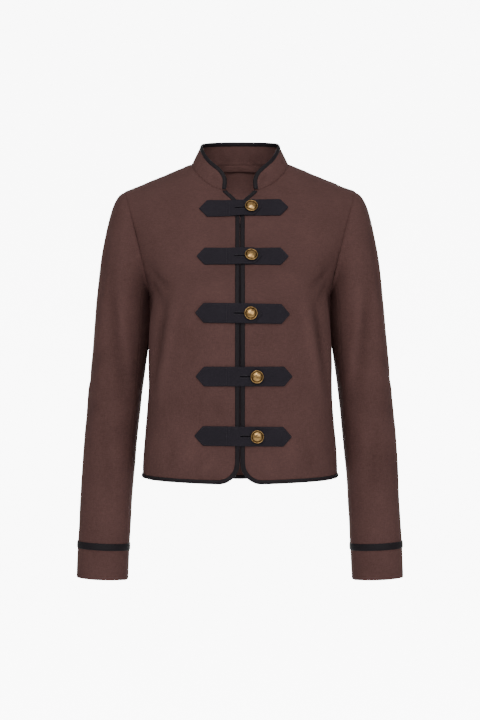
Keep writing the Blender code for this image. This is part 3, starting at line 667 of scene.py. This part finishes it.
def stitchRuns(name, lines, look, tree, finish="thread"):
    shape = bmesh.new()
    outward = shape.verts.layers.float_vector.new("outward")
    for line in lines:
        verts = []
        for place, normal in line:
            vert = shape.verts.new(place)
            vert[outward] = normal
            verts.append(vert)
        for first, second in zip(verts, verts[1:]):
            shape.edges.new((first, second))
    runs = objectFrom(shape, name)
    maker = runs.modifiers.new("stitches", "NODES")
    maker.node_group = tree
    inputs = {item.name: item.identifier for item in tree.interface.items_tree if item.in_out == "INPUT"}
    for key, value in {**look, "Thread": materials[finish]}.items():
        maker[inputs[key]] = value
    runs.update_tag()
    applied(runs)
    setAttribute(runs, "paintedFoldShading", np.zeros(len(runs.data.vertices)))
    return finishPiece(runs, None, finish)


def edgeLoops(shape):
    # the vertices along each open edge of a sheet, in order
    left = {edge for edge in shape.edges if edge.is_boundary}
    loops = []
    while left:
        edge = left.pop()
        loop = [edge.verts[0], edge.verts[1]]
        while True:
            onward = next((edge for edge in loop[-1].link_edges if edge in left), None)
            if onward is None:
                break
            left.remove(onward)
            loop.append(onward.other_vert(loop[-1]))
        loops.append(loop)
    return loops


def sheetLines(node, inset):
    # lines just inside the edges of a strip or tab, before it is laid on the cloth
    shape = outerSheet(node)
    lines = []
    for loop in edgeLoops(shape):
        places = [vert.co.copy() for vert in loop]
        if (places[0] - places[-1]).length < 1e-6:
            places.pop()
        normals = [vert.normal.copy() for vert in loop]
        count = len(places)
        line = []
        for i, place in enumerate(places):
            before = (place - places[i - 1]).normalized()
            after = (places[(i + 1) % count] - place).normalized()
            side = (before + after).cross(normals[i]).normalized()
            lean = max(0.35, math.sqrt(max(0.0, (1 + before.dot(after)) / 2)))
            line.append(place + side * inset / lean)
        middle = sum(places, Vector()) / count
        if sum((p - middle).length for p in line) > sum((p - middle).length for p in places):
            line = [place * 2 - moved for place, moved in zip(places, line)]
        lines.append(line + line[:1])
    shape.free()
    return lines


runsTree = stitchTree()
boundShape = bmesh.new()
for node in ("front_binding_left", "front_binding_right", "back_hem_binding", "collar_binding"):
    boundShape.from_mesh(sewn[node].data)
boundTree = BVHTree.FromBMesh(boundShape)
boundShape.free()
edgeLines, holeLines, slitShadeLines = [], [], []
for node, shell in shells.items():
    # along the cloth's bound edges, on the binding
    shape = bmesh.new()
    shape.from_mesh(trimmed[node])
    shape.verts.ensure_lookup_table()
    for loop in edgeLoops(shape):
        run = []
        for vert in loop + [None]:
            if vert is not None and vert.index in tucked[node]:
                away = edges[node][vert.index]
                guide = Vector(rest[node][vert.index]) + away * 0.0019 + Vector(out[node][vert.index]) * 0.0012
                run.append(guide + Vector(clothMove(guide)))
                continue
            if len(run) > 12:
                edgeLines.append(onSurface(run, boundTree, 0.0))
            run = []
    shape.free()
for hand in hands:
    band = finalTree(sewn["cuff_band_" + hand])
    for line in sheetLines("cuff_band_" + hand, 0.0014):
        edgeLines.append(onSurface([p + Vector(clothMove(p)) for p in line], band))
for number in range(1, 6):
    for hand in hands:
        tab = sewn[f"tab_{hand}_{number}"]
        tabTree = finalTree(tab)
        for line in sheetLines(f"tab_{hand}_{number}", 0.0019):
            if len(line) > 20:
                edgeLines.append(onSurface([p + Vector(clothMove(p)) for p in line], tabTree))
    points = pointsOf(sewn[f"tab_right_{number}"])
    tabTree = finalTree(sewn[f"tab_right_{number}"])
    buttonX = sum(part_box(f"button_{number}")[corner][0] for corner in (0, 1)) / 2

    def acrossTab(x, share):
        # a place on the lapping tab's face, share of its half height above its middle
        near = points[np.abs(points[:, 0] - x) < 0.006]
        low, high = near[:, 2].min(), near[:, 2].max()
        place, normal, _, _ = tabTree.ray_cast(Vector((x, -0.6, (low + high) / 2 + share * (high - low) / 2)),
                                               Vector((0, 1, 0)))
        return place, normal

    for x in (-0.0212, -0.0172):
        edgeLines.append([acrossTab(x, share) for share in np.linspace(-0.82, 0.82, 9)])
    start, end = buttonX - 0.0262, buttonX - 0.0092
    # along the middle of each buttonhole, a near-black cord: painted shadow in the cut
    slitShadeLines.append([acrossTab(x, 0.0) for x in np.linspace(start, end, 8)])
    for share in (-0.14, 0.14):
        holeLines.append([acrossTab(x, share) for x in np.linspace(start, end, 8)])
    holeLines.append([acrossTab(x, 0.0) for x in np.linspace(start - 0.0012, start, 3)])
stitchRuns("edgeStitches", edgeLines, stitchLook["edge"], runsTree)
stitchRuns("buttonholeStitches", holeLines, stitchLook["buttonhole"], runsTree)
stitchRuns("buttonholeSlitShades", slitShadeLines, stitchLook["slitShade"], runsTree, "slitShade")
print("lines of stitches:", len(edgeLines) + len(holeLines) + len(slitShadeLines))


# Buttons, turned about the axis of their solids
buttonLook = {"steps": 48, "rimHigh": 0.0037}


def buttonAxis(node):
    # the middle of a button's underside and the direction in which it faces
    shape = mergedNode(node)
    points = np.array([tuple(vert.co) for vert in shape.verts])
    shape.free()
    middle = points.mean(0)
    values, vectors = np.linalg.eigh(np.cov((points - middle).T))
    facing = vectors[:, 0] * (-1 if vectors[1, 0] > 0 else 1)
    along = (points - middle) @ facing
    away = np.linalg.norm(points - middle - along[:, None] * facing, axis=1)
    return middle, facing, along, away


def turnedButton(node):
    middle, facing, along, away = buttonAxis(node)
    wide = away.max()
    top = along.max()
    foot = along.min()
    # distance from the axis as a share of the radius, height below the dome's top, and how tarnished it is
    profile = [(0.0, 0.0, 0.0), (0.16, 0.00006, 0.0), (0.32, 0.00028, 0.0), (0.47, 0.00070, 0.05), (0.61, 0.00135, 0.15),
               (0.71, 0.00215, 0.5), (0.77, 0.00270, 1.0), (0.81, 0.00275, 1.0), (0.845, 0.00215, 0.6), (0.885, 0.00165, 0.2),
               (0.93, 0.00155, 0.1), (0.97, 0.00195, 0.1), (1.0, 0.00270, 0.2), (0.99, 0.00360, 0.5), (0.93, 0.00440, 0.9),
               (0.70, 0.00515, 1.0), (0.205, 0.00520, 1.0)]
    rings = [(share * wide, top - down, tarnish) for share, down, tarnish in profile]
    rings += [(0.2 * wide, foot, 1.0), (0.0, foot, 1.0)]
    turn = Vector(facing).to_track_quat("Z", "Y").to_matrix()
    shape = bmesh.new()
    layer = shape.verts.layers.float.new("hollow")
    loops = []
    for radius, height, tarnish in rings:
        loop = []
        for step in range(buttonLook["steps"] if radius > 0 else 1):
            angle = 2 * math.pi * step / buttonLook["steps"]
            vert = shape.verts.new(Vector(middle) + turn @ Vector((radius * math.cos(angle), radius * math.sin(angle), height)))
            vert[layer] = tarnish
            loop.append(vert)
        loops.append(loop)
    for first, second in zip(loops, loops[1:]):
        count = max(len(first), len(second))
        for i in range(count):
            j = (i + 1) % count
            corners = [first[i % len(first)], first[j % len(first)], second[j % len(second)], second[i % len(second)]]
            shape.faces.new(list(dict.fromkeys(corners)))
    bmesh.ops.recalc_face_normals(shape, faces=shape.faces)
    return objectFrom(shape, node + "_turned"), Vector(middle)


for number in range(1, 6):
    node = f"button_{number}"
    turned, middle = turnedButton(node)
    setPoints(turned, pointsOf(turned) + clothMove(middle))
    finishPiece(turned, node, "brass")
print("buttons turned: 5")


# Studio: a pale sweep, soft lights and the camera
studioLook = {"floorHeight": -1.75, "wallDistance": 4.3, "bend": 1.2, "halfWide": 2.0, "pale": (0.95, 0.95, 0.95, 1),
              "glow": 8.0, "glowFrom": -1.72, "glowOver": 0.10, "sky": 0.55}
cameraLook = {"distance": 3.5, "height": -0.3202, "lens": 106.6}


def addSweep():
    floor, wall, bend = studioLook["floorHeight"], studioLook["wallDistance"], studioLook["bend"]
    outline = [(-4.5, floor), (wall - bend, floor)]
    for step in range(1, 13):
        angle = math.pi / 2 * step / 12
        outline.append((wall - bend + bend * math.sin(angle), floor + bend - bend * math.cos(angle)))
    outline.append((wall, floor + 4.0))
    shape = bmesh.new()
    rows = [[shape.verts.new((x, y, z)) for y, z in outline] for x in (-studioLook["halfWide"], studioLook["halfWide"])]
    for i in range(len(outline) - 1):
        shape.faces.new((rows[0][i], rows[1][i], rows[1][i + 1], rows[0][i + 1]))
    sweep = objectFrom(shape, "studioSweep")
    material, wire, shader = freshMaterial("paleSweep")
    shader.inputs["Base Color"].default_value = studioLook["pale"]
    shader.inputs["Roughness"].default_value = 0.9
    place = wire.node("ShaderNodeTexCoord", {}, {}, "Object")
    high = wire.node("ShaderNodeSeparateXYZ", {}, {"Vector": place}, "Z")
    lit = ((high - studioLook["glowFrom"]) / studioLook["glowOver"]).limited()
    plug(blend(wire, lit, (0, 0, 0, 1), (1, 1, 1, 1)), shader, "Emission Color")
    shader.inputs["Emission Strength"].default_value = studioLook["glow"]
    sweep.data.materials.append(material)
    sweep.data.shade_smooth()


def addLight(name, kind, place, target, energy, **settings):
    light = bpy.data.lights.new(name, kind)
    light.energy = energy
    for key, value in settings.items():
        setattr(light, key, value)
    holder = bpy.data.objects.new(name, light)
    bpy.context.scene.collection.objects.link(holder)
    direction = Vector(target) - Vector(place)
    holder.matrix_world = Matrix.Translation(place) @ direction.to_track_quat("-Z", "Y").to_matrix().to_4x4()


addSweep()
addLight("keyLight", "AREA", (-0.8, -3.2, 1.5), (0, 0, -0.30), 64.0, size=2.2)
addLight("fillLight", "AREA", (1.5, -2.9, 0.5), (0, 0, -0.30), 32.0, size=2.2)
addLight("topLight", "AREA", (0.1, -1.5, 1.4), (0, 0, -0.30), 7.0, size=0.8)
addLight("neckLight", "SPOT", (0.0, -1.0, 0.95), (0, 0.08, -0.07), 170.0, spot_size=math.radians(4), spot_blend=1.0)
world = bpy.data.worlds.new("studioWorld")
world.use_nodes = True
world.node_tree.nodes["Background"].inputs["Color"].default_value = (1, 1, 1, 1)
world.node_tree.nodes["Background"].inputs["Strength"].default_value = studioLook["sky"]
bpy.context.scene.world = world
camera = bpy.data.objects.new("camera", bpy.data.cameras.new("camera"))
camera.data.lens = cameraLook["lens"]
camera.matrix_world = (Matrix.Translation((0, -cameraLook["distance"], cameraLook["height"]))
                       @ Matrix.Rotation(math.pi / 2, 4, "X"))
bpy.context.scene.collection.objects.link(camera)
bpy.context.scene.camera = camera
print("studio ready")
